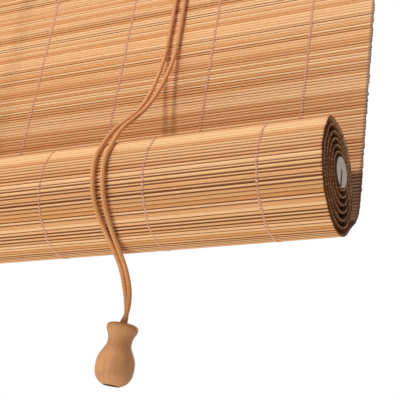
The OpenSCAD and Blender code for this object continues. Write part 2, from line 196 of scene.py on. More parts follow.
# %% A finish
class Finish:
    """A material with its shader, and the wires that its pattern starts from."""

    def __init__(self, name, **constants):
        print("finish:", name)
        self.material = bpy.data.materials.new(name)
        self.material.use_nodes = True
        self.tree = self.material.node_tree
        self.shader = self.tree.nodes["Principled BSDF"]
        for socket, value in constants.items():
            self.shader.inputs[socket.replace("_", " ")].default_value = value
        texture = self.tree.nodes.new("ShaderNodeTexCoord")
        self.place = Wire(self.tree, texture.outputs["Object"])
        self.uv = Wire(self.tree, texture.outputs["UV"])

    def attribute(self, name):
        return self.place.node("ShaderNodeAttribute", {"attribute_name": name}, {}, "Fac")

    def facing(self, axis):
        """How far the surface faces along an axis, from -1 to 1."""
        return part_of(self.place.node("ShaderNodeNewGeometry", {}, {}, "Normal"), axis)

    def feed(self, socket, wire):
        self.tree.links.new(wire.socket, self.shader.inputs[socket])

    def bump(self, height, depth_mm):
        sockets = {"Height": height, "Distance": depth_mm * MM, "Strength": 1.0}
        self.feed("Normal", height.node("ShaderNodeBump", {}, sockets))


# %% [markdown]
# ## The cord's finish
# The cords are braided cotton, tan, and the shade in the hollows between the strands is painted brown.
# Sixteen real strands would cost many faces for something two millimetres thick.
# Two sets of slanting waves on the cord's own UV map cross each other like the strands,
# as bump and as colour: the colour is painted shade in the hollows.

# %% Braided cord finish
TURN = 2 * math.pi
STRANDS, LAY = 4, 2
cord_finish = Finish("braided_cord", Roughness=0.85)
around, onward = part_of(cord_finish.uv, 0), part_of(cord_finish.uv, 1)
rising = (around * STRANDS + onward * LAY) * TURN
falling = (around * STRANDS - onward * LAY) * TURN
braid = step_up(rising.math("SINE", rising) * falling.math("SINE", falling), -0.9, 0.9)
cord_wear = step_up(noise(stretched(cord_finish.place, 1, 1, 0.4), 160, 3), 0.42, 0.68)
# Painted shade: the hollows of the braid are brown, the crests of the strands tan.
cord_colour = mixed(braid, paint(200, 124, 64), paint(248, 186, 126))
cord_finish.feed("Base Color", mixed(cord_wear * 0.3, cord_colour, paint(204, 134, 76)))
cord_finish.bump(braid, 0.12)

# %% [markdown]
# ## The cords
# Two pull cords come out of the lock at the rail, run down in front of the mat, drape over the roll and end
# in a tassel. Two lift cords go behind the mat, under the roll and up again to the pulleys.
# The solids follow a few points of each route, and the dressed cord follows the same points on one smooth
# curve. A curve object with a round bevel could do this, but a mesh tube keeps a UV map for the braid.
# The points are repeated here in millimetres, from the roll's axis where a cord lies on the roll.

# %% A smooth line through points
FINE_STEP = 0.35


def run_along(line):
    """How far along a line each of its points lies."""
    return np.concatenate([[0], np.cumsum(np.linalg.norm(np.diff(line, axis=0), axis=1))])


def line_length(line):
    return float(run_along(line)[-1])


def smooth_line(points, spacing):
    """A curve through all the points, as points that lie about as far apart as spacing."""
    p = np.array(points, float)
    lengths = np.linalg.norm(np.diff(p, axis=0), axis=1)
    knots = run_along(p)
    inner_slopes = (p[2:] - p[:-2]) / (knots[2:] - knots[:-2])[:, None]
    slopes = np.vstack([(p[1] - p[0]) / lengths[0], inner_slopes, (p[-1] - p[-2]) / lengths[-1]])
    made = []
    for i, length in enumerate(lengths):
        for t in np.arange(0, 1, min(0.5, FINE_STEP / length)):
            made.append((2 * t**3 - 3 * t**2 + 1) * p[i] + (t**3 - 2 * t**2 + t) * length * slopes[i]
                        + (3 * t**2 - 2 * t**3) * p[i + 1] + (t**3 - t**2) * length * slopes[i + 1])
    made = np.array([*made, p[-1]])
    run = run_along(made)
    stops = np.linspace(0, run[-1], max(2, round(run[-1] / spacing)) + 1)
    return np.stack([np.interp(stops, run, made[:, k]) for k in range(3)], axis=1)


# %% Rings along a line
ANY_SIDE = (0.31, 0.9, 0.3)


def rings_along(line, radius, sides, closed):
    """The points of one ring at each point of the line: square to the line, and with no twist."""
    ahead = np.roll(line, -1, 0) - np.roll(line, 1, 0)
    if not closed:
        ahead[0], ahead[-1] = line[1] - line[0], line[-1] - line[-2]
    ahead /= np.linalg.norm(ahead, axis=1)[:, None]
    angles = np.arange(sides) * 2 * np.pi / sides
    side = np.cross(ahead[0], ANY_SIDE)
    side = side / np.linalg.norm(side)
    rings = []
    for point, way in zip(line, ahead):
        side = side - way * (side @ way)
        side /= np.linalg.norm(side)
        up = np.cross(way, side)
        rings.append(point + radius * (np.cos(angles)[:, None] * side + np.sin(angles)[:, None] * up))
    return np.concatenate(rings)


# %% A mesh through rings of points
def lofted(name, rings, sides, closed, uv_at, finish):
    """A mesh over rings that have as many points as sides; uv_at gives the UV of a point of a ring."""
    count = len(rings) // sides
    steps = count if closed else count - 1
    faces = [(i * sides + j, i * sides + (j + 1) % sides,
              (i + 1) % count * sides + (j + 1) % sides, (i + 1) % count * sides + j)
             for i in range(steps) for j in range(sides)]
    walls = len(faces)
    if not closed:
        faces += [tuple(range(sides - 1, -1, -1)), tuple((count - 1) * sides + j for j in range(sides))]
    mesh = bpy.data.meshes.new(name)
    mesh.from_pydata(rings, [], faces)
    layer = mesh.uv_layers.new(name="UVMap").data
    for k, face in enumerate(mesh.polygons):
        face.use_smooth = k < walls
        i, j = divmod(k, sides) if k < walls else (0, 0)
        corners = [(i, j), (i, j + 1), (i + 1, j + 1), (i + 1, j)]
        for n, loop in enumerate(face.loop_indices):
            layer[loop].uv = uv_at(*corners[n % 4])
    mesh.materials.append(finish.material)
    return mesh


# %% A round tube along a line
def tube(name, line, radius, finish, sides=12, closed=False):
    """A mesh tube in millimetres along a line, with a UV map that runs round it and along it."""
    line = np.array(line, float)
    two_diameters = 4 * radius
    run = run_along(line)
    run = np.append(run, run[-1] + np.linalg.norm(line[0] - line[-1])) / two_diameters
    rings = (rings_along(line, radius, sides, closed) * MM).tolist()
    return placed(name, lofted(name, rings, sides, closed, lambda i, j: (j / sides, run[i]), finish))


# %% Places that the cords lead to, in millimetres
CORD_D = 2.4
ROLL_Y, ROLL_Z = -56.5, -504.0
PULL_X, LIFT_X = 336.0, 200.0
SHEAVE_Y, SHEAVE_R, LANE = -34.0, 7.0, 1.8
LOCK_X, LOCK_Z = 329.0, -34.0
LEAN_BACK, LEAN_SIDE = math.radians(9), math.radians(7)
TASSEL_TOP = np.array([PULL_X - 0.6, ROLL_Y + 22.8, ROLL_Z - 59.0])
TASSEL_H, TASSEL_R = 30.8, 9.8
tassel_turn = Matrix.Rotation(LEAN_SIDE, 3, "Y") @ Matrix.Rotation(LEAN_BACK, 3, "X")
tassel_down = np.array(tassel_turn @ Vector((0, 0, -1)))
tassel_side = np.array(tassel_turn @ Vector((0, 1, 0)))
print("top of the tassel, mm:", TASSEL_TOP.round(1).tolist())

# %% The route of a pull cord
PAIR = CORD_D / 2 + 0.1
IN_TASSEL = (-0.5, TASSEL_H - 6.2)


def from_roll(x, route):
    """Points that are given from the roll's axis, at a place along the blind."""
    return [(x + a, ROLL_Y + b, ROLL_Z + c) for a, b, c in route]


def pull_route(s):
    """One pull cord from the lock to the tassel; s is -1 for the left one and 1 for the right one."""
    run = [(0, -s * LANE, 0.2), (0, -s * LANE, 18), (s * 0.6, -s * LANE, 34),
           (-2 + s * 2, 2.7 - s * 0.9, 110), (-4.4 + s * 2.8, 5.8, 200)]
    drape = [(-7.2 + s * 3, 32.2, 159.4), (-7.15 + s * 3.15, 32.2, 138), (-7.1 + s * 3.25, 32, 120.3),
             (-6.9 + s * 3.2, 29.6, 106.3), (-6 + s * 2.8, 24.4, 91.3), (-4.4 + s * 2.3, 16.4, 74.8),
             (-2.9 + s * 1.9, 6.2, 58.5), (-2.35 + s * 1.9, -4.2, 45), (-2.05 + s * 2.1, -12.5, 34.7),
             (-2 + s * 2.55, -17.7, 25.8), (-1.85 + s * 2.85, -21.5, 17.6), (-1.5 + s * 2.9, -24.4, 10.7),
             (-1 + s * 2.85, -25.2, 3.7), (-0.45 + s * 2.85, -24.2, -3.6), (s * 2.8, -21.7, -10.2),
             (0.6 + s * 2.6, -18.3, -15.7), (1.35 + s * 2.3, -14.3, -20.2), (1.8 + s * 1.85, -8.8, -24.3),
             (1.5 + s * 1.5, -1.3, -27.8), (0.6 + s * 1.35, 6.6, -30.6)]
    end = [(-0.1 + s * 1.3, 11.8, -32.8), (-0.3 + s * 1.3, 15.6, -35.8), (0.1 + s * 1.3, 18.2, -40),
           (0.8 + s * 1.25, 20 - s * 0.45, -45.6), (0.95 + s * 0.9, 21.4 - s * 0.95, -51.4),
           (0.5 + s * 0.55, 22.1 - s * 1.2, -55.5)]
    top = [(PULL_X + a, SHEAVE_Y + b, LOCK_Z - c) for a, b, c in run]
    inside = [tuple(TASSEL_TOP + d * tassel_down - s * PAIR * tassel_side) for d in IN_TASSEL]
    return top + from_roll(PULL_X, drape + end) + inside


# %% Pull cords: the lead out of the lock, the run in front of the mat, the drape over the roll, the end
LIFT = 320.0
LEAD_END, RUN_END, DRAPE_END = LOCK_Z - 20.0, ROLL_Z + 120.3, ROLL_Z - 30.7
PULL_PARTS = ("lead", "run", "drape", "end")
BOTH_SIDES = (("left", -1), ("right", 1))
pull_lines, pull_pieces = {}, {}
for label, s in BOTH_SIDES:
    line = smooth_line(pull_route(s), 1.6)
    cuts = [int(np.argmax(line[:, 2] < z)) for z in (LEAD_END, RUN_END, DRAPE_END)]
    cuts = [0, *cuts, len(line) - 1]
    lines = {part: line[first:last + 1] for part, first, last in zip(PULL_PARTS, cuts, cuts[1:])}
    pull_lines[label] = lines
    pull_pieces[label] = {part: tube(f"braided_{part}_{label}", route, CORD_D / 2, cord_finish)
                          for part, route in lines.items()}
    print(label, "pull cord, mm:", {part: round(line_length(route)) for part, route in lines.items()})

# %% How the pull cords move
for label, parts in pull_pieces.items():
    lines = pull_lines[label]
    lead, run, drape, end = parts.values()
    drop = lines["run"][0][2] - lines["run"][-1][2]
    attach(lead, "headrail")
    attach(run, "headrail")
    tuple(lines["run"][0] * MM)
    (drop - LIFT) / drop
    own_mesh(run)
    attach(drape, "lift_loops")
    tuple(lines["end"][0] * MM)
    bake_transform(end)
    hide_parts(f"pull_end_{label}")
    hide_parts(f"pull_cord_{label}")
    for part in ("run", "drape"):
        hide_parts(f"pull_cord_{label}")
        tuple(lines[part][0] * MM)
        (lines[part] * MM).tolist()
    print(label, "run drops", round(drop), "mm and shortens by", LIFT)

# %% The route of a lift cord
loop_route = [(0, y, z) for y, z in (
    (36.8, 9.2), (36.7, 3.3), (35.8, -2.7), (33.2, -9.2), (28.9, -15.6), (24.6, -19.8), (20, -22.3),
    (15.9, -25.4), (11.2, -27.8), (5.2, -29.5), (-1, -30), (-7.8, -29), (-14.1, -26.5), (-20.1, -22.3),
    (-24.9, -16.8), (-28.2, -10.3), (-29.9, -3.1), (-30.2, 4.3), (-30.2, 9.2))]
ANCHOR_Y, LOCK_MOUTH_X = -12.0, 309


def over_wheel(x, z, y, degrees):
    angles = [math.radians(d) for d in degrees]
    return [(x + SHEAVE_R * math.cos(a), y, z + SHEAVE_R * math.sin(a)) for a in angles]


def lift_route(s):
    """One lift cord as rear run, loop, front run and rail stretch; s is as for a pull cord."""
    x = s * LIFT_X
    pulley_x, pulley_z = x + SHEAVE_R, (-30.0 if s < 0 else -36.0)
    rear = [(x, ANCHOR_Y, -46), (x, ANCHOR_Y, -50), (x, ANCHOR_Y - 0.4, -62),
            *from_roll(x, [(0, 37.4, 45), (0, 36.8, 20), (0, 36.8, 9)])]
    front = [*from_roll(x, [(0, -30.2, 9), (0, -29.9, 16), (0, -28.2, 30)]), (x, SHEAVE_Y, pulley_z - 6)]
    if s < 0:
        lead = [(227, SHEAVE_Y, pulley_z + SHEAVE_R),
                (LOCK_MOUTH_X, SHEAVE_Y + LANE, LOCK_Z + SHEAVE_R + 0.4)]
    else:
        lead = [(LOCK_MOUTH_X, SHEAVE_Y - LANE, LOCK_Z + SHEAVE_R - 0.2)]
    rail = [front[-1], *over_wheel(pulley_x, pulley_z, SHEAVE_Y, (180, 158, 135, 112, 90)),
            *lead, *over_wheel(LOCK_X, LOCK_Z, SHEAVE_Y - s * LANE, (90, 68, 45, 22, 0))]
    return rear, from_roll(x, loop_route), front, rail


# %% Lift cords: behind the mat, under the roll, in front of it and along the rail
LIFT_PARTS, LIFT_SPACING = ("rear", "loop", "front", "rail"), (4, 1.6, 4, 2)
for label, s in BOTH_SIDES:
    lines = [smooth_line(route, spacing) for route, spacing in zip(lift_route(s), LIFT_SPACING)]
    made = [tube(f"lift_{part}_{label}", line, CORD_D / 2, cord_finish)
            for part, line in zip(LIFT_PARTS, lines)]
    rear, loop, front, rail = made
    for piece, line in ((rear, lines[0]), (front, lines[2])):
        high = line[np.argmax(line[:, 2])]
        drop = float(np.ptp(line[:, 2]))
        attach(piece, "headrail")
        tuple(high * MM)
        (drop - LIFT) / drop
        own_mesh(piece)
    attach(loop, "lift_loops")
    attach(rail, "headrail")
    for piece, node in zip(made, ("rear_cord", "loop_cord", "front_cord", "front_cord")):
        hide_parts(f"{node}_{label}")
    print(label, "lift cord, mm:", [round(line_length(line)) for line in lines])

# %% [markdown]
# ## The bamboo finish
# Split bamboo is honey coloured, with fine streaks along each slat, and no two slats have the same tone.
# The shade between the slats is painted: their long edges are painted dark brown, but less so on top of the
# roll, where painted light takes its place. The hanging mat darkens towards the roll with painted shade, the
# inner turns of the roll are painted dark as shade, and the corners of its turn under the roll are painted
# shade. The mat's side edges are a grey fringe, and the sawn ends of the slats are brown, with painted shade
# where they meet and on the outer turn.
# One image of bamboo would repeat, so the finish reads the tone and the edges that are stored on each slat,
# and takes the painted shade and light from where a slat lies in the blind.

# %% Bamboo: the colour of a slat
bamboo = Finish("bamboo_slats", Specular_IOR_Level=0.12)
# The attribute inside marks the inner turns of the roll, whose slats are painted dark brown as shade.
tone, edge, gap, inside = (bamboo.attribute(n) for n in ("tone", "edge", "gap", "inside"))
streaks = noise(stretched(bamboo.place, 14, 900, 900), 1.0, 3)
clouds = noise(stretched(bamboo.place, 1.2, 6, 6), 6.0, 2)
shade = step_up(tone * 0.62 + streaks * 0.5 + clouds * 0.25, 0.3, 1.0)
slat_colour = mixed(shade, paint(222, 152, 90), paint(252, 200, 146))
slat_colour = mixed(step_up(streaks, 0.6, 0.75) * 0.35, slat_colour, paint(170, 104, 52))

# %% Bamboo: painted shade, painted light and the grey fringe, which start at one place and are full at another, in metres
MAT_DEPTH, TURN_DEPTH = (-0.0262, -0.0245), (-0.042, -0.032)
CROWN_HEIGHT, ROLL_NEAR, TURN_DROP = (-0.507, -0.486), (0.39, 0.455), (0.477, 0.485)
FRINGE, CORNER = (0.4477, 0.4488), (0.432, 0.442)
# The brown of the painted shade.
PAINTED_SHADE_BROWN = paint(124, 60, 14)
across, depth, height = abs(part_of(bamboo.place, 0)), part_of(bamboo.place, 1), part_of(bamboo.place, 2)
hung = step_up(depth, *MAT_DEPTH)
# Painted light: on top of the roll the painted shade between the slats fades.
painted_roll_top_light = step_up(height, *CROWN_HEIGHT) * (1 - hung)
# Painted shade: each slat is painted dark brown towards its long edges, where it meets its neighbours.
painted_groove_shade = step_up(abs(edge), gap, gap + 0.32) * (1 - painted_roll_top_light * 0.75)
# Painted shade: the hanging mat darkens towards the roll.
painted_shade_near_roll = step_up(-height, *ROLL_NEAR) * hung
fringe = step_up(across, *FRINGE) * hung
front_face = step_up(-bamboo.facing(1), 0.0, 0.3)
# Painted shade: near the ends, the front face of the turn under the roll is painted dark brown in the
# corners.
painted_shade_under_roll = step_up(depth, *TURN_DEPTH) * step_up(-height, *TURN_DROP) * front_face
for share, colour in ((painted_groove_shade * 0.92, PAINTED_SHADE_BROWN), (painted_shade_near_roll * 0.14, PAINTED_SHADE_BROWN),
                      (inside * 0.9, paint(128, 72, 34)), (fringe * 0.72, paint(152, 126, 112)),
                      (painted_shade_under_roll * step_up(across, *CORNER) * 0.85, paint(70, 42, 28))):
    slat_colour = mixed(share, slat_colour, colour)

# %% Bamboo: the sawn ends
sawn_end = step_up(abs(bamboo.facing(0)), 0.6, 0.9)
end_fleck = noise(bamboo.place, 2600, 1)
end_colour = mixed(step_up(tone * 0.35 + end_fleck, 0.4, 1.0), paint(124, 82, 52), paint(214, 168, 128))
# Painted shade: each sawn end is painted dark where it meets its neighbours, and the ends of the outer turn
# and of the turn under the roll are painted darker.
end_colour = mixed(step_up(abs(edge), 0.55, 0.95) * 0.75, end_colour, paint(58, 28, 10))
end_colour = mixed((1 - inside) * (1 - hung) * 0.6, end_colour, paint(66, 36, 16))
bamboo.feed("Base Color", mixed(sawn_end, slat_colour, end_colour))
bamboo.feed("Roughness", 0.42 + streaks * 0.3 + sawn_end * 0.2)
bamboo.bump(streaks, 0.06)

# %% [markdown]
# ## The slats
# A slat is a thin strip with a rounded face, and the mat has hundreds of them in rows.
# Modelling each by hand is out of the question, and an array would make them all alike.
# A Geometry Nodes tree walks along a line, sets one slat at every step, turns it to the line, and gives each
# slat its own tone, length and slight wave.
# The same tree makes the hanging mat, the turn under the roll and the roll.

# %% A tree: its inputs and its end
def new_tree(name, inputs):
    tree = bpy.data.node_groups.new(name, "GeometryNodeTree")
    tree.interface.new_socket("Geometry", in_out="INPUT", socket_type="NodeSocketGeometry")
    for kind, labels in inputs.items():
        for label in labels:
            tree.interface.new_socket(label, in_out="INPUT", socket_type="NodeSocket" + kind)
    tree.interface.new_socket("Geometry", in_out="OUTPUT", socket_type="NodeSocketGeometry")
    start = tree.nodes.new("NodeGroupInput")
    return tree, {socket.name: Wire(tree, socket) for socket in start.outputs if socket.name}


def realized(geometry):
    return geometry.node("GeometryNodeRealizeInstances", {}, {"Geometry": geometry})


def end_tree(tree, geometry, material):
    """Real mesh at the end, with its material, because instances don't survive the export."""
    solid = realized(geometry)
    dressed = solid.node("GeometryNodeSetMaterial", {}, {"Geometry": solid, "Material": material})
    finish = tree.nodes.new("NodeGroupOutput")
    tree.links.new(dressed.socket, finish.inputs[0])
    print("tree:", tree.name, "with", len(tree.nodes), "nodes")


# %% A tree that is run on a line
def grown(name, tree, line, values):
    """Runs a tree on a line of points in millimetres and keeps the result as a plain mesh."""
    seed_mesh = bpy.data.meshes.new(name + "_line")
    points = [tuple(float(c) * MM for c in p) for p in line]
    seed_mesh.from_pydata(points, [(i, i + 1) for i in range(len(points) - 1)], [])
    holder = placed(name + "_line", seed_mesh)
    modifier = holder.modifiers.new("grow", "NODES")
    modifier.node_group = tree
    for item in tree.interface.items_tree:
        if item.in_out == "INPUT" and item.name in values:
            modifier[item.identifier] = values[item.name]
    depsgraph = bpy.context.evaluated_depsgraph_get()
    mesh = bpy.data.meshes.new_from_object(holder.evaluated_get(depsgraph), preserve_all_data_layers=True,
                                           depsgraph=depsgraph)
    bpy.data.objects.remove(holder)
    mesh.name = name
    mesh.calc_loop_triangles()
    print(name, "has", len(mesh.loop_triangles), "triangles")
    return placed(name, mesh)


# %% Short words for nodes that the trees use
def stored(geometry, name, value):
    settings = {"data_type": "FLOAT", "domain": "POINT"}
    return geometry.node("GeometryNodeStoreNamedAttribute", settings,
                         {"Geometry": geometry, "Name": name, "Value": value})


def recalled(wire, name):
    return wire.node("GeometryNodeInputNamedAttribute", {"data_type": "FLOAT"}, {"Name": name})


def chance(wire, low, high, number, seed):
    """A random number from low to high, another one for every number and seed."""
    sockets = {2: low, 3: high, 7: number, 8: seed}
    return wire.node("FunctionNodeRandomValue", {"data_type": "FLOAT"}, sockets, 1)


def vector(wire, x, y, z):
    return wire.node("ShaderNodeCombineXYZ", {}, {0: x, 1: y, 2: z})


def rotation(angles):
    return angles.node("FunctionNodeEulerToRotation", {}, {0: angles})


def moved(geometry, **sockets):
    return geometry.node("GeometryNodeSetPosition", {}, {"Geometry": geometry, **sockets})


def copied(shape, points, **sockets):
    return shape.node("GeometryNodeInstanceOnPoints", {}, {"Points": points, "Instance": shape, **sockets})


# %% A walk along a line
def walked(geometry, pitch):
    """Points along the line, which store the turn about X that each of them needs."""
    curve = geometry.node("GeometryNodeMeshToCurve", {}, {"Mesh": geometry})
    even = curve.node("GeometryNodeResampleCurve", {"mode": "LENGTH"}, {"Curve": curve, "Length": pitch})
    points = even.node("GeometryNodeCurveToPoints", {"mode": "EVALUATED"}, {"Curve": even})
    tangent = Wire(points.tree, points.socket.node.outputs["Tangent"])
    return stored(points, "lean", tangent.math("ARCTAN2", -part_of(tangent, 1), part_of(tangent, 2)))


def leaned(wire):
    lean = recalled(wire, "lean")
    return rotation(vector(lean, lean, 0.0, 0.0))


# %% The tree of the slats
slat_tree, given = new_tree("slats_along_a_line", {
    "Float": ["Slat Length", "Slat Height", "Slat Thickness", "Pitch", "Uneven Ends", "Wave", "Least Gap",
              "Most Gap", "Inside Rows"], "Int": ["Seed"], "Material": ["Material"]})
points = walked(given["Geometry"], given["Pitch"])
row = points.node("GeometryNodeInputIndex")
points = stored(points, "row", row)
# Rows inside the roll, which the bamboo finish paints dark as shade.
points = stored(points, "inside", row.math("LESS_THAN", row, given["Inside Rows"]))
points = stored(points, "tone", chance(points, 0.0, 1.0, row, given["Seed"]))
points = stored(points, "gap", chance(points, given["Least Gap"], given["Most Gap"], row, given["Seed"] + 1))
nudge = chance(points, -1.0, 1.0, row, given["Seed"] + 2) * given["Uneven Ends"]
points = moved(points, Offset=vector(points, nudge, 0.0, 0.0))

# %% One slat, its copies and their wave
NARROW_END_RINGS = 1.2475
SIDE_WAVES, SIDE_STRIDE = 9, 3.7
INWARD_WAVES, INWARD_STRIDE = 7, 5.3
rod = points.node("GeometryNodeMeshCylinder", {"fill_type": "NGON"},
                  {"Vertices": 8, "Side Segments": 10, "Radius": 1.0, "Depth": 1.0})
spot = rod.node("GeometryNodeInputPosition")
rod = stored(rod, "edge", part_of(spot, 1))
reach = part_of(spot, 2) * NARROW_END_RINGS
reach = reach.math("MINIMUM", reach, 0.5)
reach = reach.math("MAXIMUM", reach, -0.5)
slat_shape = vector(rod, reach * given["Slat Length"], part_of(spot, 0) * given["Slat Thickness"] * 0.5,
                    part_of(spot, 1) * given["Slat Height"] * 0.5)
slat = moved(rod, Position=slat_shape)
slats = realized(copied(slat, points, Rotation=leaned(slat)))
row = recalled(slats, "row")
spot = slats.node("GeometryNodeInputPosition")
sideways = noise(vector(spot, part_of(spot, 0) * SIDE_WAVES, row * SIDE_STRIDE, 0.0), 1.0, 1) - 0.5
inward = noise(vector(spot, part_of(spot, 0) * INWARD_WAVES, row * INWARD_STRIDE, 9.0), 1.0, 1) - 0.5
slats = moved(slats, Offset=vector(spot, 0.0, inward * given["Wave"] * 2, sideways * given["Wave"] * 2))
flat_end = abs(part_of(slats.node("GeometryNodeInputNormal"), 0))
slats = slats.node("GeometryNodeSetShadeSmooth", {"domain": "FACE"},
                   {0: slats, 1: flat_end.math("LESS_THAN", flat_end, 0.6)})
end_tree(slat_tree, slats, given["Material"])

# %% The hanging mat
MAT_W, PITCH, SLAT_H, SLAT_T, UNEVEN = 900.0, 1.9, 2.2, 1.0, 0.3
MAT_Y, MAT_TOP, MAT_BOTTOM = -22.0, -14.0, -494.7
slat_sizes = {"Slat Length": (MAT_W - 2 * UNEVEN) * MM, "Slat Height": SLAT_H * MM,
              "Slat Thickness": SLAT_T * MM, "Pitch": PITCH * MM, "Uneven Ends": UNEVEN * MM,
              "Wave": 0.18 * MM, "Least Gap": 0.35, "Most Gap": 1.0, "Inside Rows": 0.0, "Seed": 3,
              "Material": bamboo.material}
mat_line = [(0, MAT_Y, MAT_BOTTOM + PITCH / 2), (0, MAT_Y, MAT_TOP - PITCH / 2)]
hanging = grown("hanging_slats", slat_tree, mat_line, slat_sizes)
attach(hanging, "headrail")
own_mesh(hanging)
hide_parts("hanging_mat")

# %% [markdown]
# ## The roll
# The lower end of the mat is wound round a rod. Its turns are not round: they lie loose in front and tight
# behind, and the outer ones come to a blunt crest at the top front.
# A spiral of shrinking, shifting ellipses with a small bulge gives that, and the slat tree walks along it
# from the rod outwards.
# The turn under the roll is a short curve from the hanging mat to the start of the spiral.

# %% The roll's line
ROLL_TILT, ROLL_START, ROLL_SPAN = math.radians(122), 198.0, 2210.0
OUTER_LONG, OUTER_SHORT, INNER = 27.8, 22.7, 8.1
ROD_SHIFT = np.array([4.6, 4.8])
CREST_H, CREST_AT, CREST_WIDTH = 2.0, 193.0, 15.0


def turn_at(degrees):
    """A point of the roll's middle line, from its axis: 0 degrees is the outer end."""
    share, angle = degrees / ROLL_SPAN, math.radians(ROLL_START - degrees)
    y = (OUTER_LONG + (INNER - OUTER_LONG) * share) * math.cos(angle)
    z = (OUTER_SHORT + (INNER - OUTER_SHORT) * share) * math.sin(angle)
    tilted = np.array([y * math.cos(ROLL_TILT) - z * math.sin(ROLL_TILT),
                       y * math.sin(ROLL_TILT) + z * math.cos(ROLL_TILT)])
    crest = CREST_H * (1 - share) ** 2 * math.exp(-((degrees % 360 - CREST_AT) / CREST_WIDTH) ** 2)
    return share * ROD_SHIFT + tilted * (1 + crest / np.linalg.norm(tilted))


def beside_roll(flat_points):
    return [(0, ROLL_Y + y, ROLL_Z + z) for y, z in flat_points]


# %% The rolled slats
roll_line = beside_roll([turn_at(d) for d in np.arange(ROLL_SPAN, -1, -4)])
outer_length = line_length(beside_roll([turn_at(d) for d in range(0, 361, 4)]))
inside_rows = (line_length(roll_line) - outer_length) / PITCH
rolled = grown("rolled_slats", slat_tree, roll_line, {
    **slat_sizes, "Seed": 11, "Slat Length": (MAT_W - 0.4) * MM, "Uneven Ends": 0.12 * MM,
    "Wave": 0.15 * MM, "Least Gap": 0.12, "Most Gap": 0.8, "Inside Rows": inside_rows})
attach(rolled, "roll")
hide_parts("mat_roll")
print("rolled up, mm:", round(line_length(roll_line)))

# %% The turn under the roll
TAIL_START, TAIL_PULL, TAIL_LOW, TAIL_TOP = 0.7, 14, -8.0, 8.4
start = turn_at(0)
heading = start - turn_at(3)
heading /= np.linalg.norm(heading)
mat_from_axis = MAT_Y - ROLL_Y
corner = [start + heading * TAIL_START, start + heading * TAIL_PULL,
          np.array([mat_from_axis, TAIL_LOW]), np.array([mat_from_axis, TAIL_TOP])]
bend = []
for t in np.linspace(0, 1, 40):
    u = 1 - t
    bend.append(u**3 * corner[0] + 3 * u**2 * t * corner[1] + 3 * u * t**2 * corner[2] + t**3 * corner[3])
tail_line = beside_roll(bend)
tail = grown("tail_slats", slat_tree, tail_line, {
    **slat_sizes, "Seed": 19, "Wave": 0.1 * MM, "Uneven Ends": 0.1 * MM, "Slat Height": 2.7 * MM})
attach(tail, "lift_loops")
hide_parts("mat_tail")

# %% [markdown]
# ## The warp threads
# Rows of pinkish thread hold the slats together: on every slat a row shows one small slanting stitch.
# A painted line would look printed, so each stitch is a small rounded bead of thread that lies on its slat.
# A second tree sets the stitches: it walks along the same line, repeats the walk for every row and tilts
# each stitch.

# %% Thread finish
thread_finish = Finish("warp_thread", Roughness=0.9)
fibres = noise(stretched(thread_finish.place, 900, 900, 2600), 1.0, 2)
thread_finish.feed("Base Color", mixed(fibres, paint(214, 146, 112), paint(236, 180, 146)))
thread_finish.bump(fibres, 0.05)

# %% The tree of the stitches
stitch_tree, given = new_tree("stitches_on_a_line", {
    "Float": ["Pitch", "First Row", "Row Step", "Stitch Width", "Stitch Length", "Stitch Thickness", "Lift",
              "Tilt"], "Int": ["Rows", "Rings", "Seed"], "Material": ["Material"]})
points = walked(given["Geometry"], given["Pitch"])
rows = points.node("GeometryNodeMeshLine", {"mode": "OFFSET"}, {
    "Count": given["Rows"], "Start Location": vector(points, given["First Row"], 0.0, 0.0),
    "Offset": vector(points, given["Row Step"], 0.0, 0.0)})
spots = realized(copied(points, rows))

# %% One stitch and its copies
DRIFT = 0.25 * MM
LEAST_SIZE, MOST_SIZE = 0.8, 1.15
bead = spots.node("GeometryNodeMeshUVSphere", {}, {"Segments": 6, "Rings": given["Rings"], "Radius": 1.0})
place = bead.node("GeometryNodeInputPosition")
bead = moved(bead, Position=vector(place, part_of(place, 0) * given["Stitch Width"] * 0.5,
                                   part_of(place, 1) * given["Stitch Thickness"] * 0.5,
                                   part_of(place, 2) * given["Stitch Length"] * 0.5))
bead = bead.node("GeometryNodeTransform", {}, {
    "Geometry": bead, "Translation": vector(bead, 0.0, given["Lift"], 0.0),
    "Rotation": rotation(vector(bead, 0.0, given["Tilt"], 0.0))})
bead = bead.node("GeometryNodeSetShadeSmooth", {"domain": "FACE"}, {0: bead})
number = bead.node("GeometryNodeInputIndex")
size = chance(bead, LEAST_SIZE, MOST_SIZE, number, given["Seed"])
drift = chance(bead, -DRIFT, DRIFT, number, given["Seed"] + 5)
spots = moved(spots, Offset=vector(bead, drift, 0.0, 0.0))
stitches = copied(bead, spots, Rotation=leaned(bead), Scale=vector(size, size, 1.0, size))
end_tree(stitch_tree, stitches, given["Material"])

# %% Stitches on the mat's front and back
THREADS, THREAD_MARGIN = 15, 36.0
RAIL_BOTTOM = -48.0
FRONT, BACK = -SLAT_T / 2 * MM, SLAT_T / 2 * MM
stitch_sizes = {"Pitch": PITCH * MM, "Rows": THREADS, "First Row": (THREAD_MARGIN - MAT_W / 2) * MM,
                "Row Step": (MAT_W - 2 * THREAD_MARGIN) / (THREADS - 1) * MM, "Stitch Width": 1.9 * MM,
                "Stitch Length": 1.7 * MM, "Stitch Thickness": 0.3 * MM, "Tilt": math.radians(16),
                "Lift": FRONT, "Rings": 4, "Seed": 5, "Material": thread_finish.material}
below_rail = [mat_line[0], (0, MAT_Y, RAIL_BOTTOM - PITCH)]
front_stitches = grown("thread_stitches_front", stitch_tree, below_rail, stitch_sizes)
back_stitches = grown("thread_stitches_back", stitch_tree, below_rail, {
    **stitch_sizes, "Rings": 3, "Lift": BACK})
for piece in (front_stitches, back_stitches):
    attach(piece, "headrail")
    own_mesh(piece)
    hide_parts("warp_threads")

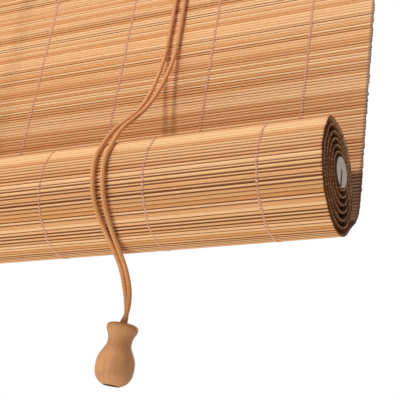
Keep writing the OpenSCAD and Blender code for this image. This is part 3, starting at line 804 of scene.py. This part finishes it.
# %% Stitches on the roll's outer turn and on the turn under it
ROLL_THREAD_SHIFT = 4.5
outer_turn = beside_roll([turn_at(d) for d in np.arange(372, -1, -3)])
roll_stitches = grown("thread_stitches_roll", stitch_tree, outer_turn, {
    **stitch_sizes, "First Row": stitch_sizes["First Row"] + ROLL_THREAD_SHIFT * MM, "Seed": 7,
    "Stitch Width": 1.6 * MM, "Stitch Thickness": 0.4 * MM, "Lift": BACK})
tail_stitches = grown("thread_stitches_tail", stitch_tree, tail_line, {
    **stitch_sizes, "Lift": BACK, "Seed": 8})
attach(roll_stitches, "roll")
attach(tail_stitches, "lift_loops")

# %% [markdown]
# ## The tassel
# A turned wooden bell with a flared rim, a neck and a round belly ends the two pull cords.
# A lathe turns it from its outline, so here the outline is turned in steps round the axis too.
# The outline goes on through the hole in the foot and the bore, so the wood has a real inside.
# The finish paints that inside dark brown, as painted shade.

# %% Turned wood finish
FOOT_R, FOOT_RIM_R = 4.0, 4.6
turned_wood = Finish("turned_wood", Roughness=0.6)
grain = noise(stretched(turned_wood.uv, 30, 0.8, 1), 1.0, 4)
fleck = noise(turned_wood.place, 1500, 3)
wood_colour = mixed(step_up(grain, 0.3, 0.72), paint(204, 142, 88), paint(216, 156, 102))
wood_colour = mixed(step_up(fleck, 0.46, 0.7) * 0.4, wood_colour, paint(172, 112, 68))
own_place = turned_wood.place.node("ShaderNodeMapping", {"vector_type": "TEXTURE"}, {
    "Vector": turned_wood.place, "Location": TASSEL_TOP * MM, "Rotation": tassel_turn.to_euler()})
# Painted shade: the hole in the foot and the bore are painted dark brown.
bore = 1 - step_up(length_of(stretched(own_place, 1, 1, 0)), FOOT_R * MM, FOOT_RIM_R * MM)
turned_wood.feed("Base Color", mixed(bore * 0.85, wood_colour, paint(72, 40, 20)))
turned_wood.feed("Roughness", 0.5 + grain * 0.25)
lathe_marks = noise(stretched(turned_wood.uv, 0.4, 60, 1), 1.0, 1)
turned_wood.bump(lathe_marks * 0.6 + fleck * 0.6, 0.08)

# %% Turning an outline round an axis
UV_UNIT = 10


def turned_piece(name, outline, place, finish, segments=56):
    """A closed outline of (radius, height) points in millimetres, turned round the piece's own axis."""
    count = len(outline)
    rings = []
    for i in range(segments):
        a = 2 * math.pi * i / segments
        ring = [Vector((r * math.cos(a) * MM, r * math.sin(a) * MM, z * MM)) for r, z in outline]
        rings += [tuple(place @ spot) for spot in ring]
    mesh = lofted(name, rings, count, True,
                  lambda i, j: (i / segments, outline[j % count][1] / UV_UNIT), finish)
    bm = bmesh.new()
    bm.from_mesh(mesh)
    bmesh.ops.recalc_face_normals(bm, faces=bm.faces)
    bm.to_mesh(mesh)
    bm.free()
    mesh.set_sharp_from_angle(angle=math.radians(50))
    return placed(name, mesh)


# %% The tassel
FOOT_H, BORE_R = 6.0, 2.9
tassel_outline = [(0.51, 0), (0.7, 0.01), (0.79, 0.035), (0.815, 0.075), (0.785, 0.12), (0.675, 0.19),
                  (0.625, 0.26), (0.625, 0.33), (0.68, 0.38), (0.775, 0.44), (0.875, 0.5), (0.95, 0.56),
                  (0.99, 0.62), (1, 0.69), (0.99, 0.76), (0.95, 0.83), (0.85, 0.9), (0.67, 0.96),
                  (0.52, 0.99), (0.45, 1)]
profile = smooth_line([(r * TASSEL_R, 0, -h * TASSEL_H) for r, h in tassel_outline], 0.7)
bore_outline = [(FOOT_R, -TASSEL_H), (FOOT_R, FOOT_H - TASSEL_H), (BORE_R, FOOT_H - TASSEL_H),
                (BORE_R, -0.4), (3.3, 0)]
tassel_place = Matrix.Translation(Vector(TASSEL_TOP) * MM) @ tassel_turn.to_4x4()
whole_outline = [(x, z) for x, _, z in profile] + bore_outline
tassel = turned_piece("tassel_turned", whole_outline, tassel_place, turned_wood)
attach(tassel, "tassel")
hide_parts("tassel")
print("the tassel is turned from", len(whole_outline), "points")

# %% [markdown]
# ## The knots
# The cords end in knots: one hides in the tassel's foot, and two sit on top of the headrail.
# A tied overhand knot has the same run as a trefoil, a closed curve with three lobes.
# A tube along that curve reads as a knot from every side.

# %% A knot
KNOT_POINTS, KNOT_DEPTH = 72, 1.15


def knot(name, centre, radius, thickness, tilt):
    t = np.linspace(0, 2 * np.pi, KNOT_POINTS, endpoint=False)
    lobes = np.stack([np.sin(t) + 2 * np.sin(2 * t), np.cos(t) - 2 * np.cos(2 * t),
                      -KNOT_DEPTH * np.sin(3 * t)], axis=1)
    line = lobes * (radius - thickness) / 3
    line = np.array([tilt @ Vector(p) for p in line]) + np.array(centre)
    return tube(name, line, thickness, cord_finish, sides=10, closed=True)


# %% Knots at their places
FOOT_KNOT_UP, RAIL_KNOT_UP, RAIL_TOP = 3.4, 2.0, -12.0
foot_centre = TASSEL_TOP + (TASSEL_H - FOOT_KNOT_UP) * tassel_down
foot_knot = knot("tassel_knot_tied", foot_centre, 3.7, 1.1, tassel_turn)
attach(foot_knot, "tassel")
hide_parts("tassel_knot")
for label, s in BOTH_SIDES:
    rail_centre = (s * LIFT_X, ANCHOR_Y, RAIL_TOP + RAIL_KNOT_UP)
    rail_knot = knot(f"rail_knot_{label}", rail_centre, 3.5, 1.15, Matrix.Identity(3))
    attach(rail_knot, "headrail")
    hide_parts("anchor_knots")
for label, parts in pull_pieces.items():
    line = pull_lines[label]["end"]
    with_pieces = [tassel, foot_knot] if label == "left" else []
    tuple(line[0] * MM)
    (line * MM).tolist()

# %% [markdown]
# ## Wood and hardware
# The rail, the strip and the rod are plain planed wood; brackets, plates and pins are zinc plated steel;
# the wheels and the cam are nylon. The solids have the right shapes but razor sharp edges.
# A copy of each gets a small bevel, because it is the bright line along an edge that makes a part look real.

# %% Finish of the rail and the strip
pine = Finish("planed_pine", Roughness=0.6)
growth = noise(stretched(pine.place, 2.4, 130, 110), 1.0, 3)
pores = noise(stretched(pine.place, 26, 1500, 1500), 1.0, 2)
pine_colour = mixed(step_up(growth, 0.35, 0.66), paint(222, 180, 128), paint(196, 146, 94))
pine.feed("Base Color", mixed(step_up(pores, 0.55, 0.75) * 0.3, pine_colour, paint(160, 108, 62)))
pine.feed("Roughness", 0.5 + pores * 0.3)
pine.bump(pores, 0.05)

# %% Finish of the rod, with year rings round its own axis
RING_SCALE = 4200
rod_axis = (0, -(ROLL_Y + ROD_SHIFT[0]) * MM, -(ROLL_Z + ROD_SHIFT[1]) * MM)
rod_wood = Finish("rod_wood", Roughness=0.7)
from_axis = rod_wood.place.node("ShaderNodeMapping", {}, {"Vector": rod_wood.place, "Location": rod_axis})
ring_phase = length_of(stretched(from_axis, 0, 1, 1)) * RING_SCALE + noise(from_axis, 160, 2) * 3
year_rings = step_up(ring_phase.math("SINE", ring_phase), -0.6, 0.9)
rod_streaks = noise(stretched(rod_wood.place, 20, 900, 900), 1.0, 3)
rod_end = step_up(abs(rod_wood.facing(0)), 0.6, 0.9)
rod_end_colour = mixed(year_rings * 0.6, paint(232, 216, 202), paint(204, 184, 168))
# Painted shade: the rod's side shows only inside the roll, so it is painted dark brown.
rod_side_painted_shade = mixed(rod_streaks, paint(96, 66, 44), paint(124, 88, 60))
rod_wood.feed("Base Color", mixed(rod_end, rod_side_painted_shade, rod_end_colour))
rod_wood.bump(rod_streaks, 0.06)

# %% Finishes of the hardware
steel = Finish("zinc_steel", Metallic=1.0)
spangle = noise(steel.place, 420, 2)
scuffs = noise(stretched(steel.place, 90, 90, 700), 1.0, 4)
steel.feed("Base Color", mixed(spangle, paint(172, 174, 176), paint(214, 214, 210)))
steel.feed("Roughness", 0.26 + scuffs * 0.3)
steel.bump(scuffs, 0.015)
nylon = Finish("moulded_nylon", Roughness=0.45)
cloudy = noise(nylon.place, 300, 2)
nylon.feed("Base Color", mixed(cloudy, paint(226, 222, 210), paint(242, 239, 230)))
nylon.feed("Roughness", 0.36 + cloudy * 0.2)
nylon.bump(noise(nylon.place, 1800, 2), 0.02)

# %% A copy of a solid with eased edges
FLAT, SOFT, SHARP = math.radians(0.6), math.radians(35), math.radians(40)


def eased(node, width_mm, finish):
    shape = bmesh.new()
    shape.from_mesh(nodes[node].data)
    bmesh.ops.remove_doubles(shape, verts=shape.verts, dist=1e-6)
    bmesh.ops.dissolve_limit(shape, angle_limit=FLAT, verts=shape.verts, edges=shape.edges)
    sharp = [e for e in shape.edges if len(e.link_faces) == 2 and e.calc_face_angle(0) > SHARP]
    bmesh.ops.bevel(shape, geom=sharp, offset=width_mm * MM, offset_type="OFFSET", segments=2, profile=0.5,
                    affect="EDGES", clamp_overlap=True)
    for face in shape.faces:
        bends = [e.calc_face_angle(0) for e in face.edges if len(e.link_faces) == 2]
        face.smooth = any(FLAT < b < SOFT for b in bends) and len(face.verts) <= 4
    mesh = bpy.data.meshes.new(node + "_eased")
    shape.to_mesh(mesh)
    shape.free()
    mesh.materials.append(finish.material)
    piece = placed(node + "_eased", mesh)
    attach(piece, nodes[node]["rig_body"])
    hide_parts(node)


# %% Rail, strip, rod and hardware
for width, finish, slot, names in (
        (1.0, pine, "pine", ["headrail"]), (0.5, pine, "pine", ["top_strip"]),
        (0.25, rod_wood, "rod", ["bottom_rod"]),
        (0.3, steel, "steel", ["hanger_plate_left", "hanger_plate_right", "left_pulley_bracket",
                               "right_pulley_bracket", "cord_lock_housing"]),
        (0.25, steel, "steel", ["left_pulley_axle", "right_pulley_axle", "lock_axle", "cam_pin"]),
        (0.2, nylon, "nylon", ["left_sheave", "right_sheave", "lock_roller"]),
        (0.3, nylon, "nylon", ["lock_cam"]), (0.25, steel, "steel", ["top_tacks"])):
    for node in names:
        eased(node, width, finish)
    print("eased:", names)

# %% [markdown]
# ## The screws
# Six pan head screws hold the brackets and four countersunk ones hold the hanger plates, all with a cross
# recess. One head is cut with a boolean, in the place of the cold punch that forms it, and a small tree sets
# the screw at every place.

# %% One screw with its cross
CROSS_LONG, CROSS_WIDE, CROSS_HIGH = 3.0, 0.7, 1.4


def screw_shape(name, outline):
    lathe = turned_piece(name, outline, Matrix.Identity(4), steel, segments=24)
    cutter_mesh = bpy.data.meshes.new("cross")
    cross = bmesh.new()
    for x, y in ((CROSS_LONG, CROSS_WIDE), (CROSS_WIDE, CROSS_LONG)):
        arm = bmesh.ops.create_cube(cross, size=1.0)["verts"]
        bmesh.ops.scale(cross, vec=(x * MM, y * MM, CROSS_HIGH * MM), verts=arm)
        bmesh.ops.translate(cross, vec=(0, 0, outline[0][1] * MM), verts=arm)
    cross.to_mesh(cutter_mesh)
    cross.free()
    cutter = placed("cross", cutter_mesh)
    cut = lathe.modifiers.new("cross", "BOOLEAN")
    cut.object, cut.operation, cut.solver, cut.use_self = cutter, "DIFFERENCE", "EXACT", True
    depsgraph = bpy.context.evaluated_depsgraph_get()
    mesh = bpy.data.meshes.new_from_object(lathe.evaluated_get(depsgraph))
    bpy.data.objects.remove(lathe)
    bpy.data.objects.remove(cutter)
    return mesh


# %% The tree of the screws
MOST_TWIST = 6.28
screw_tree, given = new_tree("screws_at_points", {
    "Object": ["Screw"], "Vector": ["Turn"], "Int": ["Seed"], "Material": ["Material"]})
template = given["Screw"].node("GeometryNodeObjectInfo", {}, {"Object": given["Screw"]}, "Geometry")
spots = given["Geometry"].node("GeometryNodeMeshToPoints", {}, {0: given["Geometry"]})
number = spots.node("GeometryNodeInputIndex")
twist = rotation(vector(number, 0.0, 0.0, chance(number, 0.0, MOST_TWIST, number, given["Seed"])))
base = rotation(given["Turn"])
turned = base.node("FunctionNodeRotateRotation", {"rotation_space": "LOCAL"}, {0: base, 1: twist})
end_tree(screw_tree, copied(template, spots, Rotation=turned), given["Material"])

# %% Screws at their places
pan_head = [(0.01, 1.8), (1.2, 1.72), (2.2, 1.4), (2.85, 0.75), (3.0, 0.1), (3.0, 0), (1.5, 0),
            (1.5, -15.4), (0.01, -16)]
flat_head = [(0.01, 0), (2.7, 0), (3.0, -0.12), (1.5, -1.5), (1.5, -11.4), (0.01, -12)]
ear_screws = [(-206, -30), (-180, -30), (194, -36), (220, -36), (316, -34), (356, -34)]
hanger_screws = [(s * 300, z) for s in (-1, 1) for z in (-22, -38)]
for name, outline, y, spots, turn_x, seed in (
        ("bracket_screws", pan_head, -28.0, ear_screws, 90, 2),
        ("hanger_screws", flat_head, 0.0, hanger_screws, -90, 4)):
    holder = placed(name + "_template", screw_shape(name + "_shape", outline))
    piece = grown(name + "_crossed", screw_tree, [(x, y, z) for x, z in spots], {
        "Screw": holder, "Turn": (math.radians(turn_x), 0, 0), "Seed": seed, "Material": steel.material})
    bpy.data.objects.remove(holder)
    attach(piece, "headrail")
    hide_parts(name)

# %% [markdown]
# ## Floor and light
# The blind hangs over a plain pale floor. The floor is paler for the camera than it is as a light, and clear
# from below, because the photograph looks up.
# A large soft lamp stands in front of the blind, above and a little to the left. A weak one below brightens
# the underside, another one lights the back, and the white world fills the other shade.
# The background is white only for the camera and for reflections: as a light, the world is weaker, so that
# the colours come out about as they were written.

# %% Floor
FLOOR_Z, FLOOR_HALF = -1.32, 6
corners = [(x * FLOOR_HALF, y * FLOOR_HALF, FLOOR_Z) for x, y in ((-1, -1), (1, -1), (1, 1), (-1, 1))]
floor_mesh = bpy.data.meshes.new("floor")
floor_mesh.from_pydata(corners, [], [(0, 1, 2, 3)])
floor_finish = Finish("pale_floor", Roughness=0.9, Emission_Strength=0.3)
mottle = noise(floor_finish.place, 3, 2)
floor_finish.feed("Base Color", mixed(mottle, paint(226, 226, 224), paint(234, 234, 232)))
camera_ray = floor_finish.place.node("ShaderNodeLightPath", {}, {}, "Is Camera Ray")
floor_finish.feed("Emission Color", mixed(camera_ray, paint(0, 0, 0), paint(255, 255, 255)))
from_below = floor_finish.place.node("ShaderNodeNewGeometry", {}, {}, "Backfacing")
clear = from_below.node("ShaderNodeBsdfTransparent")
pale = Wire(floor_finish.tree, floor_finish.shader.outputs["BSDF"])
one_sided = from_below.node("ShaderNodeMixShader", {}, {0: from_below, 1: pale, 2: clear})
floor_finish.tree.links.new(one_sided.socket, floor_finish.tree.nodes["Material Output"].inputs["Surface"])
floor_mesh.materials.append(floor_finish.material)
floor = placed("floor", floor_mesh)
print("floor at", FLOOR_Z, "m")

# %% Lamps
LIT_CORNER = Vector((0.3, -0.04, -0.48))


def soft_lamp(name, towards, distance, size, power):
    """A round lamp that shines on the corner in the picture, from a direction and a distance in metres."""
    data = bpy.data.lights.new(name, "AREA")
    data.shape, data.size, data.energy = "DISK", size, power
    lamp = placed(name, data)
    lamp.location = LIT_CORNER + towards.normalized() * distance
    lamp.rotation_euler = towards.to_track_quat("Z", "Y").to_euler()
    print(name, "of", power, "W at", distance, "m")


soft_lamp("softbox", Vector((-0.18, -0.52, 0.835)), 3.5, 0.6, 96)
soft_lamp("fill", Vector((-0.35, -0.55, -0.75)), 0.95, 0.6, 3.8)
soft_lamp("back_fill", Vector((-0.1, 0.85, 0.5)), 3.5, 1.2, 30)

# %% World
AMBIENT = 0.25
world = bpy.data.worlds.new("white_room")
bpy.context.scene.world = world
world.use_nodes = True
world_tree = world.node_tree
rays = world_tree.nodes.new("ShaderNodeLightPath")
seen = Wire(world_tree, rays.outputs["Is Camera Ray"])
for kind in ("Is Glossy Ray", "Is Transmission Ray"):
    seen = seen.math("MAXIMUM", seen, Wire(world_tree, rays.outputs[kind]))
background = world_tree.nodes["Background"]
background.inputs["Color"].default_value = (1, 1, 1, 1)
world_tree.links.new((seen * (1 - AMBIENT) + AMBIENT).socket, background.inputs["Strength"])
bpy.context.scene.view_settings.view_transform = "Standard"
print("the world gives", AMBIENT, "of its white as light")
